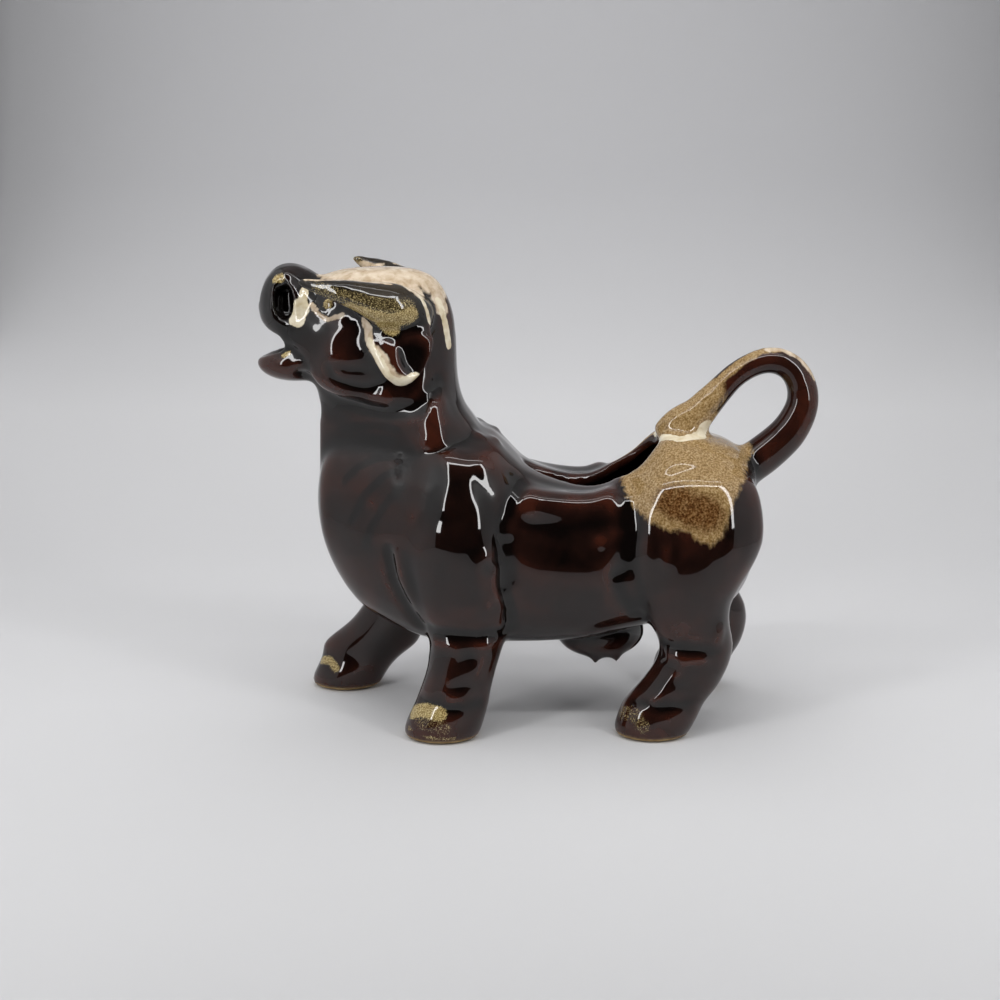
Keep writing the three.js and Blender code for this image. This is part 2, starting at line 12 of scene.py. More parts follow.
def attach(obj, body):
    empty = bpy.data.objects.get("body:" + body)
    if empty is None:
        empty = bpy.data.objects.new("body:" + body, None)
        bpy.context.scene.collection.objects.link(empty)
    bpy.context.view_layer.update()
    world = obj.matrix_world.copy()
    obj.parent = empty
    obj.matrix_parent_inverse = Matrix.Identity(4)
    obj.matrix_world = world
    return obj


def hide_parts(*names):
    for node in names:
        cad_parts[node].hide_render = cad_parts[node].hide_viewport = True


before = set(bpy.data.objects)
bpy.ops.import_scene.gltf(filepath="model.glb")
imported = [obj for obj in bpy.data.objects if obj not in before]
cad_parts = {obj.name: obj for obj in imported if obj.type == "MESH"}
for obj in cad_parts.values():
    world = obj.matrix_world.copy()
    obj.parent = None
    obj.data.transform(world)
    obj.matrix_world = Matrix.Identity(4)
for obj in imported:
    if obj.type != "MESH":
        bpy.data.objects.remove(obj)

bl_info = {
    "name": "Bull creamer looks",
    "version": (1, 0, 0),
    "blender": (4, 5, 0),
    "location": "View3D > Sidebar > Creamer",
    "description": "Shapes the glazed skin of a bull creamer over its packed pieces and lights it",
    "category": "Object",
}

MM = 0.001

# Clay, in millimetres. The animal's left side is near, its right side is far.
CLAY = "clay"
NEAR, FAR = -1, 1
# How far each far foot stands from the place opposite the near one, the height at which that is nought, and
# how late it fades on the way up.
FORE_STRIDE = -29.2
HIND_STRIDE = 13.4
STRIDE_TOP = 45.0
STRIDE_EASE = 1.6
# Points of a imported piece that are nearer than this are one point.
WELD = 0.01
# A ray that looks for the skin starts this far out.
OUTSIDE = 200.0
# Runs of a path shorter than this, in square millimetres, are left out.
SHORTEST_RUN = 1e-9
# Part of the way to the middle of its neighbours that a point is moved in a round of smoothing.
SMOOTHING = 0.5
# Rounds of smoothing of the normals.
NORMAL_ROUNDS = 3
# A point of a piece further than this from each point of the clay was made by a cut, and a face further than
# this from the skin lies inside a joint.
SAME_PLACE = 0.001
CUT_FACE = 0.03
# Filled in when the clay is shaped, and read when pieces are cut out of it.
SKIN = {}

# Stage. Tones are sRGB hex, the lens and its sensor are in millimetres and the rest is in metres.
# Tones of the backdrop paper at places from its front edge to its back: painted shade that darkens the paper
# towards its front edge and up its back, where less lamp light falls.
PAPER_PAINTED_SHADE = ((-200 * MM, "c4c4c5"), (0, "d8d8d9"), (290 * MM, "dededf"), (390 * MM, "c4c4c6"))
PAPER_HALF_WIDTH = 420 * MM
SIDE_CLOTH_END = 320 * MM
ROOM = "1c1c1c"
SWEEP_STEPS = 15
# Lamps: how far they hang from the cloth, how far a strip is set in from an edge and how narrow the inner
# strip is, both as shares of a strip's width, then the lengths and the places of the strips and the panel.
LAMP_GAP = 4 * MM
STRIP_INSET = 2 / 3
INNER_STRIP = 1 / 2
SIDE_STRIP = 330 * MM
SIDE_STRIP_HEIGHT = 230 * MM
TOP_STRIP = 440 * MM
INNER_STRIP_FRONT = 110 * MM
STRIP_AIM = (0, 60 * MM, 130 * MM)
PANEL = 320 * MM
PANEL_BACK = 130 * MM
LENS = 55.7
SENSOR = 36.0
NEAREST = 10 * MM
CAMERA = Vector((-10.3, -409.2, 154.2)) * MM
CAMERA_AIM = Vector((-10.3, 0.0, 59.7)) * MM

# Glazes. Each pattern: size of its grains, detail and distortion. The flecks are really finer than a
# tenth of a millimetre, and are drawn this coarse so that they show.
PATTERNS = {
    "cloud": (10.5 * MM, 5.0, 0.6),
    "ripple": (6.7 * MM, 2.0, 0.0),
    "blotch": (2.4 * MM, 4.0, 0.4),
    "streak": (1.3 * MM, 3.0, 0.3),
    "fleck": (0.5 * MM, 5.0, 0.0),
    "speck": (0.32 * MM, 2.0, 0.0),
}
# How much longer than wide the streaks hang, and how deep the glaze ripples.
STREAK_LENGTH = 3.5
RIPPLE_STRENGTH = 0.1
RIPPLE_HEIGHT = 0.25 * MM
# Shades of each glaze, and of the painted nostril shade, from low to high values of its pattern.
SHADES = {
    "brown": ((0.14, "brown_deep"), (0.3, "brown"), (0.5, "brown_thin")),
    "smoke": ((0.14, "smoke_deep"), (0.3, "smoke"), (0.5, "smoke_thin")),
    "tan": ((0.3, "tan_deep"), (0.5, "tan"), (0.7, "tan_pale")),
    "amber": ((0.32, "amber_deep"), (0.5, "amber"), (0.66, "amber_pale")),
    "beige": ((0.3, "beige_deep"), (0.55, "beige"), (0.75, "beige_pale")),
    "cream": ((0.3, "cream_deep"), (0.6, "cream")),
    "gold": ((0.3, "gold_deep"), (0.5, "gold"), (0.68, "gold_pale")),
    "bare": ((0.3, "clay_deep"), (0.7, "clay")),
    "pit": ((0.0, "pit"),),
}
# Glazes over the dark one, in the order that they were brushed on: layer, pattern of its shades, pattern
# that breaks up its edge, and the sums of paint and pattern where it starts and where it covers. A coat
# without a pattern at its edge lies just as it is painted. The last is no glaze but painted shade, black
# and matt in the unlit depth of the nostrils.
COATS = (
    ("tan", "fleck", "streak", 0.62, 1.05),
    ("amber", "fleck", "streak", 0.6, 1.5),
    ("beige", "blotch", "blotch", 0.75, 1.05),
    ("cream", "blotch", "blotch", 0.8, 1.0),
    ("gold", "speck", "speck", 0.86, 1.22),
    ("bare", "blotch", None, 0.0, 1.0),
    ("pit", "blotch", None, 0.0, 1.0),
)
# How strongly a pattern breaks up an edge.
EDGE_SHARE = 0.8
# Sockets of a mix node that is set to colours.
MIX_FACTOR, MIX_BELOW, MIX_ABOVE, MIX_RESULT = 0, 6, 7, 2
# A dark body under a clear, wet-looking skin, which alone mirrors the tent.
GLASSY = {
    "Roughness": 0.42,
    "IOR": 1.5,
    "Specular IOR Level": 0.0,
    "Coat Roughness": 0.04,
    "Coat IOR": 1.5,
}
MATT = {"Roughness": 0.9, "Specular IOR Level": 0.1}

# Modelling strokes. A path point is (x, z) on the side elevation or (x, y, z), in millimetres.
# Each stroke: path, radius, height (below zero cuts in). All are mirrored to the far side.
BROAD = [
    # upright flank of the barrel up to the rim
    ([(-2, -19, 64), (8, -18, 63), (18, -17, 63.5)], 8.0, 1.6),
    ([(-2, -21, 63.6), (8, -19.5, 63.4), (18, -18.5, 63.8)], 6.0, 1.8),
    # broad shoulder that the chest and neck rise to, the dip before it, its front, its crest and its top, and
    # the valley behind it
    ([(-24, 75), (-24, 58)], 20.0, 1.6),
    ([(-33.5, 74), (-34, 66)], 6.0, -0.5),
    ([(-23, 74), (-23, 66)], 7.0, 0.8),
    ([(-18, 71), (-19, 62), (-20.5, 52)], 8.0, 0.6),
    ([(-22, -20, 74), (-15, -19.5, 74)], 6.0, 1.0),
    ([(-6, 69), (-8, 61), (-9.5, 54), (-9, 45)], 4.6, -1.0),
    # valley before the haunch
    ([(22.5, 67), (23, 57), (22, 47)], 4.6, -1.1),
    # cheek that widens towards the ear, neck that widens towards the nape, and the ridge under the ear
    ([(-50, 104), (-49, 97)], 6.0, -0.8),
    ([(-27.5, 90), (-27.5, 83), (-28, 77)], 8.0, 0.8),
    ([(-27.5, 88), (-27.5, 80)], 5.0, 1.0),
]
MEDIUM = [
    # roll under the cheek and the throat fold below it
    ([(-62, 98), (-58, 94), (-52.5, 91.5), (-46, 90.5), (-40, 90)], 3.6, 0.8),
    ([(-62, 95), (-57.5, 90.6), (-52.5, 88), (-46, 86.5), (-40, 85.8), (-31, 88), (-26, 94)], 3.0, -1.3),
    # furrow between the two lobes of the muzzle
    ([(-62, -1, 122), (-66, -1.5, 122.5), (-70, -1.5, 120), (-72.5, -1.5, 115)], 2.8, -0.55),
    # front edge of the barrel behind the shoulder
    ([(-3.2, 66.5), (-5.7, 62.5), (-8, 56.7)], 2.6, 0.6),
    # elbow: a hooked ridge, a lesser one and the crease behind them
    ([(-12.9, 51.3), (-15.1, 50.4), (-15.9, 47.9), (-14.7, 43.1), (-12.9, 38.4)], 2.6, 0.8),
    ([(-11.1, 47.4), (-11.8, 44.9), (-10.8, 40.7), (-9, 36.2)], 2.0, 0.5),
    ([(-9.4, 42), (-8, 36), (-7.4, 31)], 2.4, -1.1),
    # shoulder to chest: crease and ridge
    ([(-39.4, 50.6), (-38.5, 44.1), (-35.7, 37.3), (-31.4, 30.2)], 2.6, -1.1),
    ([(-37.4, 50), (-36.2, 44.8), (-33, 38.2)], 2.8, 0.5),
    # flank knot and thigh drop
    ([(15.5, 54.2)], 2.8, 0.6),
    ([(32.3, 53), (32.4, 49)], 2.6, 0.5),
    # flank fold between belly and thigh
    ([(20, 45), (21.5, 39), (25, 34)], 2.8, -0.9),
    # hock
    ([(45.9, 27), (47, 30.6)], 2.8, 0.7),
]
FINE = [
    # pointed nostril with a sharp inner edge, a flaring wing and a knob over it
    ([(-66.6, 118.6), (-66.5, 116)], 1.8, -1.6),
    ([(-66.3, 116), (-66, 111.4)], 2.6, -3.2),
    ([(-68.2, 119), (-69, 115.5), (-69.2, 112.5), (-68.4, 109.8)], 1.3, 0.8),
    ([(-65.4, 119.2), (-63.5, 116.9), (-62.6, 115), (-63, 113.2), (-64.8, 110.6)], 1.3, 0.8),
    ([(-65.6, 121.4)], 2.8, 1.1),
    # eye in its lids
    ([(-54.7, 113.9)], 2.2, 1.0),
    ([(-57.9, 113.9), (-54.7, 111.5), (-50.8, 112.5)], 1.3, -0.6),
    ([(-58.6, 113), (-57, 111), (-54.5, 109.6), (-50.6, 110.8)], 1.4, 0.5),
    # front rim of the ear, the fold and the hollow inside it, and its back rim
    ([(-44, -15.5, 110), (-43.2, -17.5, 105), (-41.6, -19, 101), (-38.6, -20.2, 96.6)], 2.2, 0.9),
    ([(-41, -18, 109), (-39, -19.3, 103.6), (-37.2, -20.3, 100.5), (-35.8, -20.8, 97)], 1.3, 0.5),
    ([(-37.6, -17.8, 108), (-35.6, -18.5, 104), (-34, -18.4, 100)], 1.6, -0.6),
    ([(-29.2, -15, 109), (-28.2, -12, 104), (-29.6, -13, 98.5)], 1.6, 0.6),
    # ridges along the top of the horn
    ([(-57, -17, 120), (-50, -17.5, 120.8), (-43, -17.5, 120.6), (-37, -18, 119)], 1.5, -0.3),
    ([(-56, -18.6, 118.4), (-48, -20, 118.6), (-41, -20.6, 117.8), (-35, -19.8, 115.8)], 1.5, -0.25),
    # mouth corner and the smile fold
    ([(-65, 102), (-62, 99.5), (-60.5, 96.5)], 1.6, -0.8),
    # folds on the cheek
    ([(-55, 97.5), (-53.6, 95), (-51, 93.7), (-47, 92.7), (-43.3, 92.5), (-41.5, 93.6)], 1.5, -0.8),
    ([(-54, 98.2), (-50, 97.4), (-44, 97.2)], 1.5, -0.5),
    # cords of the tail's root
    ([(32, -5, 82.5), (38.2, -5, 85.2), (44.1, -4, 90.2)], 1.1, 0.5),
    ([(38.2, -6, 80.5), (42, -5, 84.4), (46, -4, 89.3)], 1.1, 0.5),
    # knots on the withers
    ([(-16.4, -11, 79)], 2.6, 0.9),
    ([(-11.5, -8, 77.6)], 2.4, 0.6),
]
FORE_FINE = [
    # the shin ends in a ledge under the knee
    ([(-31, -24, 29.6), (-22, 29.8), (-12, 29.6), (-8, -24, 29)], 2.6, -0.9),
    ([(-29, -25, 26.4), (-22, 26.6), (-13, 26.6)], 2.4, 0.7),
    # crossed pastern folds over the hoof and the hoof's upper edge
    ([(-25.7, 14.8), (-22.5, 12.7), (-20.2, 13.2), (-17.1, 14.9)], 1.6, 0.6),
    ([(-24.7, 11.1), (-22.5, 12.7), (-20.2, 13.2), (-19.2, 10.9)], 1.5, 0.5),
    ([(-32, -24, 11.6), (-28, 11), (-22, 10), (-15, 11)], 1.6, -0.7),
    ([(-21.5, 25), (-23.6, 21), (-24, 17)], 2.4, 0.4),
    ([(-15, 24), (-16.4, 19)], 2.2, 0.4),
]
HIND_FINE = [
    # the shin ends in a ledge under the hock
    ([(33, -22, 26.6), (38, 26.2), (46, 25.6)], 2.4, -0.7),
    ([(34, 23), (42, 22.6)], 2.4, 0.6),
    ([(26, 14), (30, 11.4), (35, 14)], 1.8, 0.6),
    ([(24, -23, 10.8), (28, 10.4), (33, 9.8), (39, 10.4)], 1.6, -0.7),
    ([(38, 22), (33, 15), (29.5, 11)], 2.4, 0.5),
]

# Where coloured glaze has run: layer, path, radius, strength. All are mirrored to the far side.
PAINT = [
    # drip beside the nostril, the patch over it, the lower lid and the eye
    ("cream", [(-60.8, 116.8), (-61.2, 114.4)], 1.1, 1.0),
    ("cream", [(-61.6, 113), (-62, 111.6), (-62.7, 109.8)], 2.0, 1.0),
    ("gold", [(-68.2, 119.9), (-66.9, 120.2)], 1.3, 0.9),
    ("beige", [(-58.9, 113.6), (-57.1, 111.4), (-54.5, 110), (-50.8, 111.2)], 0.8, 0.75),
    ("gold", [(-54.7, 113.9)], 1.4, 1.0),
    # painted highlight: a gold glint on the inner lower lip at the corner of the mouth
    ("gold", [(-65.5, -8.2, 101), (-67.2, -8, 100.5)], 0.7, 0.9),
    # painted shade, black in the unlit depth of the nostril, and thick dark glaze on the muzzle
    ("pit", [(-66.6, 117.4), (-66.3, 116), (-66, 112)], 0.9, 1.0),
    ("deep", [(-66, 118), (-66, 110)], 9.0, 1.0),
    ("deep", [(-20, 68), (-21, 56)], 8.0, 0.8),
    # glaze pooled along the fan of faint folds on the neck: darker lines that are also painted shade of folds
    # that the skin doesn't model
    ("deep", [(-52, 80.6), (-43, 82.5), (-37, 81.8)], 1.0, 0.9),
    ("deep", [(-57, -2, 73.5), (-52.7, 76.1), (-44.3, 78.8), (-38, 79)], 1.0, 0.9),
    ("deep", [(-51, 67.9), (-46.9, 72.1), (-40.3, 74.9), (-36, 75.8)], 1.0, 0.9),
    ("deep", [(-49.2, 57.7), (-45.5, 64.8), (-40.1, 70.3), (-35, 72.6)], 1.0, 0.9),
    ("deep", [(-45.7, 51.5), (-43.6, 57.2), (-40.1, 62.8), (-35.6, 68)], 1.0, 0.9),
    # crown between the horns, with runs down the nape
    ("beige", [(-52, -2, 122), (-44, -3, 122.5), (-36, -4, 122), (-28.5, -3, 119.5)], 5.5, 1.0),
    ("beige", [(-50, -6, 121.6), (-42.5, -8.5, 121), (-37, -10, 119.4), (-32.6, -12, 118)], 3.6, 1.0),
    ("beige", [(-28.5, -4, 119.5), (-25.6, -6, 113)], 2.6, 1.0),
    ("cream", [(-26.2, -6.6, 114), (-24.6, -6.7, 108.8), (-23.6, -6.1, 102.7)], 1.2, 0.9),
    ("cream", [(-30.6, -14.3, 116.2), (-29.4, -14.9, 114), (-28.4, -14, 109.5)], 0.8, 0.8),
    # front rim of the ear
    ("beige", [(-44.2, -15.2, 110), (-43.4, -16.5, 106), (-42.4, -18.5, 102)], 1.3, 0.9),
    ("beige", [(-42, -18.7, 102), (-40, -19.7, 99), (-38, -20.2, 96), (-36, -20.2, 95)], 2.2, 0.95),
    ("cream", [(-43, -17, 105), (-40.4, -19.4, 100), (-38, -20.2, 96.4), (-35.4, -20.2, 95)], 1.0, 0.9),
    ("cream", [(-36, -20.2, 95), (-33.6, -20.4, 95.4), (-31.9, -19.5, 96.2)], 1.3, 0.9),
    # brushed horn: pale along its top, flecked below, gold at its root
    ("beige", [(-59, -16, 120), (-52, -16.5, 121), (-44, -16.5, 121), (-38, -17, 119.8)], 0.9, 0.7),
    ("gold", [(-56, -18.3, 118), (-47.3, -20.5, 116), (-40, -21.2, 114.6), (-33, -19, 114)], 2.6, 0.56),
    ("gold", [(-48, -18.7, 113.4), (-42.8, -20, 112), (-37.6, -19.7, 110.6), (-33, -18.5, 112)], 2.4, 0.95),
    ("gold", [(-40, -18.7, 110), (-37.6, -18.2, 108)], 2.0, 1.0),
    # root of the tail with its collar, and the top of its loop
    ("tan", [(36, -3, 83), (41, -3, 87), (44, -3, 89)], 4.6, 0.85),
    ("tan", [(46, -2.6, 91.5), (53, -2.4, 98), (58, -2, 101.6), (63, -1.6, 102.6)], 1.3, 0.8),
    ("beige", [(61, -1.6, 102.6), (65, -1.6, 102.4), (69, -1.6, 100), (73.5, -1.6, 94)], 1.3, 0.75),
    ("cream", [(32.2, -5.4, 78), (36.9, -9.8, 78.8), (42.8, -6.5, 79.4), (45.5, -4, 80.4)], 1.5, 1.0),
    # amber middle of the rump patch
    ("amber", [(33.6, 65), (38.1, 63.4), (42.5, 62)], 4.6, 1.0),
    # inner side of the hoof that is set forward
    ("gold", [(-62, 18.2, 7.8), (-59.4, 15.5, 8.7), (-57.5, 13.6, 6.9)], 1.4, 0.8),
]
FORE_PAINT = [
    ("gold", [(-33.5, -23, 7.5), (-30, -25.7, 9), (-26, -27.6, 8.6)], 1.9, 1.0),
    ("gold", [(-31, -26, 6), (-25, -28.4, 5)], 2.6, 0.5),
    ("gold", [(-34.5, -24, 3.4), (-28.6, -28.3, 2.2), (-22.1, -28.3, 2)], 0.8, 0.6),
]
HIND_PAINT = [
    ("gold", [(22.1, -21.4, 6.8), (25.6, -24, 7), (27.5, -26, 4.5)], 2.6, 0.52),
]
# Outline of the rump patch on the side elevation, with its feathered lower edge.
RUMP_PATCH = [
    *[(21.7, 67.9), (24.2, 63), (28.1, 59.8), (32.6, 58), (38.1, 58), (40.1, 55.6), (43.2, 54.6)],
    *[(46.3, 56.4), (47.8, 61), (50.4, 67.6), (57, 74), (55, 81), (45, 85), (34, 85), (28, 79)],
]
# What the strokes paint. Deep isn't a glaze of its own: it keeps the dark glaze from running thin, where
# glaze has pooled and, along the neck's folds, as painted shade.
LAYERS = ("cream", "beige", "tan", "amber", "gold", "pit", "deep")
# Paint fades out at this many radii, the rump patch over this many millimetres.
PAINT_FADE = 1.6
PATCH_FADE = 4.0
# The rump patch stops where the skin faces inwards: it is gone where one part in this many of a normal does.
INWARD_FADE = 4.0
# Height in millimetres up to which a sole is bare, and over which the glaze starts.
SOLE = 1.5
SOLE_FADE = 0.6
# Rounds of smoothing that the skin is compared with to find its edges, the bulge in millimetres over
# which the glaze thins there, and how much of that is lost where it has pooled and where fold shade is
# painted.
EDGE_ROUNDS = 30
EDGE_BULGE = 0.8
POOLED_AND_FOLD_SHADE = 0.6


# Settings


def linear(code):
    """An sRGB hex colour as a linear RGBA colour."""
    channels = [int(code[i : i + 2], 16) / 255 for i in (0, 2, 4)]
    return [c / 12.92 if c <= 0.04045 else ((c + 0.055) / 1.055) ** 2.4 for c in channels] + [1.0]


def colour(name, description, code):
    """A colour setting with an sRGB hex colour as its default."""
    return bpy.props.FloatVectorProperty(
        name=name, description=description, default=linear(code), size=4, min=0, max=1, subtype="COLOR"
    )


def length(name, description, size):
    """A length setting with a default in millimetres. It is kept in metres."""
    return bpy.props.FloatProperty(name=name, description=description, default=size * MM, unit="LENGTH")


def power(name, description, watts):
    """A setting for the light of a lamp."""
    return bpy.props.FloatProperty(name=name, description=description, default=watts, unit="POWER")


def times(name, description, count):
    """A setting for how often something is done."""
    return bpy.props.IntProperty(name=name, description=description, default=count)


class CreamerClay(bpy.types.PropertyGroup):
    """How the pieces are brought together as one skin of clay."""

    grain: length("Grain", "Size of the cells that the skin is rebuilt from", 0.72)
    bridge: length("Bridge", "How far each piece is grown to close the joints of slip", 0.3)
    soften: times("Soften", "Rounds of smoothing over the whole skin", 12)
    polish: times("Polish", "Rounds of smoothing after the modelling strokes", 5)


class CreamerCuts(bpy.types.PropertyGroup):
    """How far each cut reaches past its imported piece, into the soft joint round it."""

    small_seat: length("Ears and horns", "Reach of the cut round an ear or a horn", 0.9)
    udder_seat: length("Udder", "Reach of the cut round the udder", 1.2)
    tail_seat: length("Tail", "Reach of the cut round the tail handle", 1.4)
    limb_seat: length("Legs and head", "Reach of the cut round a leg or the head", 2.2)
    grain: length("Grain", "Size of the cells that a cutter is rebuilt from", 0.9)


class CreamerGlaze(bpy.types.PropertyGroup):
    """Shades of the glazes."""

    brown_deep: colour("Brown, pooled", "Brown glaze where it is thickest", "0a0605")
    brown: colour("Brown", "Brown glaze over most of the jug", "20100c")
    brown_thin: colour("Brown, thin", "Brown glaze that has run off an edge", "3a1b12")
    smoke_deep: colour("Smoke, pooled", "Dark glaze of the horns where it is thickest", "0b0906")
    smoke: colour("Smoke", "Dark glaze of the horns", "1a150f")
    smoke_thin: colour("Smoke, thin", "Dark glaze of the horns on an edge", "2c2418")
    tan_deep: colour("Tan, deep", "Darkest grains of the rump patch", "6b5029")
    tan: colour("Tan", "Rump patch and root of the tail", "977b51")
    tan_pale: colour("Tan, pale", "Palest grains of the rump patch", "b8a079")
    amber_deep: colour("Amber, deep", "Darkest grains in the middle of the rump patch", "331b0b")
    amber: colour("Amber", "Middle of the rump patch", "5d3c1e")
    amber_pale: colour("Amber, pale", "Palest grains in the middle of the rump patch", "896840")
    beige_deep: colour("Beige, deep", "Darkest blotches of the crown", "ad9678")
    beige: colour("Beige", "Crown, nape and ear rims", "cebca4")
    beige_pale: colour("Beige, pale", "Palest blotches of the crown", "ddd0bb")
    cream_deep: colour("Cream, deep", "Darkest blotches of the thick drips", "c9b892")
    cream: colour("Cream", "Thick drips beside the nostrils and on the ears", "e6dcc4")
    gold_deep: colour("Gold, deep", "Darkest specks of the gold", "665029")
    gold: colour("Gold", "Flecks on horns and hooves", "9c8755")
    gold_pale: colour("Gold, pale", "Palest specks of the gold", "d2c08c")
    clay_deep: colour("Clay, deep", "Darkest blotches of the bare soles", "8d7350")
    clay: colour("Clay", "Bare clay of the soles", "b39a70")
    # painted shade: black for the unlit depth of the nostrils
    pit: colour("Pit", "Unlit depth of the nostrils", "020101")


class CreamerTent(bpy.types.PropertyGroup):
    """The light tent: cloth walls, an open dark front and strips of lamps round it."""

    cloth: colour("Cloth", "White cloth of the sides and the top", "d9d9da")
    half_width: length("Half width", "From the middle to a side cloth", 258)
    front: length("Front", "From the jug to the open front", 250)
    back: length("Back", "From the jug to the back of the paper", 420)
    height: length("Height", "From the floor to the top cloth", 430)
    bend: length("Bend", "Radius of the sweep from the floor up to the back", 260)
    glow: bpy.props.FloatProperty(
        name="Glow", description="Light that comes through the left cloth from outside", default=0.12
    )
    strip: length("Strip", "Width of a strip of lamps", 28)
    side_power: power("Side strips", "Light of each side strip", 0.4)
    top_power: power("Top strip", "Light of the strip over the open front", 0.5)
    inner_power: power("Inner strip", "Light of the narrower strip further back in the roof", 0.18)
    panel_power: power("Top panel", "Light of the soft panel in the roof", 0.5)


# Objects and modifiers


def select_only(*objects):
    """Leaves just these objects selected, with the first one active."""
    bpy.ops.object.select_all(action="DESELECT")
    for thing in objects:
        thing.select_set(True)
    bpy.context.view_layer.objects.active = objects[0]


def apply_modifier(thing, kind, **settings):
    """Adds a modifier with these settings and applies it."""
    select_only(thing)
    bpy.ops.object.modifier_add(type=kind)
    modifier = thing.modifiers[-1]
    for key, value in settings.items():
        setattr(modifier, key, value)
    bpy.ops.object.modifier_apply(modifier=modifier.name)


def copy_of(thing, name):
    """A copy of an object with its own mesh."""
    copy = thing.copy()
    copy.data = thing.data.copy()
    copy.name = name
    bpy.context.scene.collection.objects.link(copy)
    return copy


def remove(thing):
    """Deletes an object and its mesh."""
    mesh = thing.data
    bpy.data.objects.remove(thing)
    bpy.data.meshes.remove(mesh)


def grown_copy(node, grow):
    """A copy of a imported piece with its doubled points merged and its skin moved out."""
    copy = copy_of(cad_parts[node], "grown_" + node)
    copy.parent = None
    copy.hide_viewport = False
    copy.hide_render = False
    for key in list(copy.keys()):
        del copy[key]
    select_only(copy)
    bpy.ops.object.mode_set(mode="EDIT")
    bpy.ops.mesh.select_all(action="SELECT")
    bpy.ops.mesh.remove_doubles(threshold=WELD * MM)
    bpy.ops.object.mode_set(mode="OBJECT")
    bpy.ops.mesh.customdata_custom_splitnormals_clear()
    apply_modifier(copy, "DISPLACE", strength=grow, mid_level=0.0)
    return copy


def points_of(mesh):
    """Vertex places in millimetres."""
    flat = np.empty(len(mesh.vertices) * 3)
    mesh.vertices.foreach_get("co", flat)
    return flat.reshape(-1, 3) / MM


def set_points(mesh, points):
    """Moves the vertices to places in millimetres."""
    mesh.vertices.foreach_set("co", (points * MM).ravel())
    mesh.update()


def normals_of(mesh):
    """The way that the skin faces at each vertex."""
    flat = np.empty(len(mesh.vertices) * 3)
    mesh.vertex_normals.foreach_get("vector", flat)
    return flat.reshape(-1, 3)


def edges_of(mesh):
    """The two vertices of each edge."""
    flat = np.empty(len(mesh.edges) * 2, dtype=np.int32)
    mesh.edges.foreach_get("vertices", flat)
    return flat.reshape(-1, 2)


def tree_of(mesh):
    """A search tree over the faces of a mesh, in millimetres."""
    points = [Vector(point) for point in points_of(mesh)]
    return BVHTree.FromPolygons(points, [tuple(face.vertices) for face in mesh.polygons])


# Clay


def relax(points, edges, rounds):
    """Moves each point towards the middle of its neighbours, some rounds over."""
    count = len(points)
    ends, starts = edges[:, 0], edges[:, 1]
    degree = np.bincount(ends, minlength=count) + np.bincount(starts, minlength=count)
    share = (SMOOTHING / np.maximum(degree, 1))[:, None]
    for _ in range(rounds):
        total = np.empty_like(points)
        for axis in range(3):
            column = points[:, axis]
            total[:, axis] = np.bincount(ends, column[starts], count)
            total[:, axis] += np.bincount(starts, column[ends], count)
        points = points * (1 - SMOOTHING) + total * share
    return points


def placed(path, tree, side, shift=None):
    """A path's points on the skin of one side, with the way that the skin faces there."""
    found = []
    facing = Vector()
    for point in path:
        x, z = point[0], point[-1]
        if shift is not None:
            x += shift(z)
        if len(point) == 3:
            place, normal = tree.find_nearest(Vector((x, -side * point[1], z)))[:2]
        else:
            place, normal = tree.ray_cast(Vector((x, side * OUTSIDE, z)), Vector((0, -side, 0)))[:2]
        if place is not None:
            found.append(np.array(place))
            facing += normal
    if not found:
        raise ValueError(f"no point of the path {path} lies on the skin")
    return found, np.array(facing.normalized())


def distance_to(points, path):
    """Distance of each point from a path of straight runs."""
    best = np.linalg.norm(points - path[0], axis=1)
    for start, end in zip(path, path[1:]):
        run = end - start
        square = run @ run
        if square < SHORTEST_RUN:
            continue
        along = np.clip((points - start) @ run / square, 0, 1)
        best = np.minimum(best, np.linalg.norm(points - start - along[:, None] * run, axis=1))
    return best


def near_path(points, path, radius):
    """Indices of the points inside the path's box grown by the radius."""
    low = np.min(path, axis=0) - radius
    high = np.max(path, axis=0) + radius
    return np.nonzero(np.all((points >= low) & (points <= high), axis=1))[0]


def stride(total):
    """How far a leg set forward or back is moved at a height."""
    return lambda z: total * (1 - min(1.0, z / STRIDE_TOP) ** STRIDE_EASE)


def both_sides(rows, shift=None):
    """Each row with its side and with the far leg's move along X."""
    for row in rows:
        yield row, NEAR, None
        yield row, FAR, shift


def model(clay, rows):
    """Adds or cuts clay along strokes, along the skin's own normals."""
    points = points_of(clay.data)
    normals = normals_of(clay.data)
    tree = tree_of(clay.data)
    relief = np.zeros(len(points))
    for (path, radius, height), side, shift in rows:
        places, facing = placed(path, tree, side, shift)
        picked = near_path(points, places, radius)
        picked = picked[normals[picked] @ facing > 0]
        share = np.clip(distance_to(points[picked], places) / radius, 0, 1)
        relief[picked] += height * (1 - share**2) ** 2
    set_points(clay.data, points + normals * relief[:, None])


# Paint


def soft_step(distance, width):
    """Rises from nought to one over a width, and is a half where the distance is nought."""
    return np.clip(0.5 + distance / width, 0, 1)


